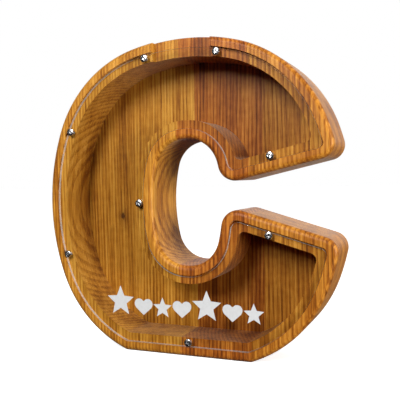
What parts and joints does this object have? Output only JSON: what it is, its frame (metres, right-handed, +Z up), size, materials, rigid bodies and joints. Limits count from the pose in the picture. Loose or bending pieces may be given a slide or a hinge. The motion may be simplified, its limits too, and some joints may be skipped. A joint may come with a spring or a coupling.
{
  "type": "money box",
  "caption": "Free-standing wooden money box shaped as a round open letter, with a clear screwed-on front panel, a coin slot at the top and a flat foot.",
  "frame": {"origin": "middle of the overall box, on the plane the flat foot stands on", "axes": "+Z up, the clear panel faces -Y, +X to the right as seen from the front, so the mouth of the letter opens towards +X"},
  "size_m": [0.2244, 0.0447, 0.2296],
  "materials": {
    "oak_golden": "golden oak, oiled, satin",
    "oak_reddish": "reddish oak, oiled, satin",
    "clear_acrylic": "clear sheet, polished faces, sawn edges",
    "screw_metal": "bright plated steel",
    "white_film": "matt white vinyl film"
  },
  "bodies": {
    "case": {"board_left": "oak_golden", "board_spine": "oak_golden", "board_middle_top": "oak_reddish", "board_middle_foot": "oak_reddish", "board_tip_top": "oak_golden", "board_tip_foot": "oak_golden"},
    "panel": {"front_panel": "clear_acrylic", "shape_1": "white_film", "shape_2": "white_film", "shape_3": "white_film", "shape_4": "white_film", "shape_5": "white_film", "shape_6": "white_film", "shape_7": "white_film"},
    "screw_slot_left_body": {"screw_slot_left": "screw_metal"},
    "screw_slot_right_body": {"screw_slot_right": "screw_metal"},
    "screw_side_upper_body": {"screw_side_upper": "screw_metal"},
    "screw_side_lower_body": {"screw_side_lower": "screw_metal"},
    "screw_counter_body": {"screw_counter": "screw_metal"},
    "screw_foot_body": {"screw_foot": "screw_metal"},
    "screw_mouth_lower_body": {"screw_mouth_lower": "screw_metal"},
    "screw_mouth_upper_body": {"screw_mouth_upper": "screw_metal"}
  },
  "joints": [
    {"name": "panel_off", "type": "slide", "parent": "case", "child": "panel", "axis": [0, -1, 0], "range_m": [0, 0.05]},
    {"name": "screw_slot_left_out", "type": "slide", "parent": "panel", "child": "screw_slot_left_body", "axis": [0, -1, 0], "range_m": [0, 0.0147]},
    {"name": "screw_slot_right_out", "type": "slide", "parent": "panel", "child": "screw_slot_right_body", "axis": [0, -1, 0], "range_m": [0, 0.0147]},
    {"name": "screw_side_upper_out", "type": "slide", "parent": "panel", "child": "screw_side_upper_body", "axis": [0, -1, 0], "range_m": [0, 0.0147]},
    {"name": "screw_side_lower_out", "type": "slide", "parent": "panel", "child": "screw_side_lower_body", "axis": [0, -1, 0], "range_m": [0, 0.0147]},
    {"name": "screw_counter_out", "type": "slide", "parent": "panel", "child": "screw_counter_body", "axis": [0, -1, 0], "range_m": [0, 0.0147]},
    {"name": "screw_foot_out", "type": "slide", "parent": "panel", "child": "screw_foot_body", "axis": [0, -1, 0], "range_m": [0, 0.0147]},
    {"name": "screw_mouth_lower_out", "type": "slide", "parent": "panel", "child": "screw_mouth_lower_body", "axis": [0, -1, 0], "range_m": [0, 0.0147]},
    {"name": "screw_mouth_upper_out", "type": "slide", "parent": "panel", "child": "screw_mouth_upper_body", "axis": [0, -1, 0], "range_m": [0, 0.0147]}
  ]
}
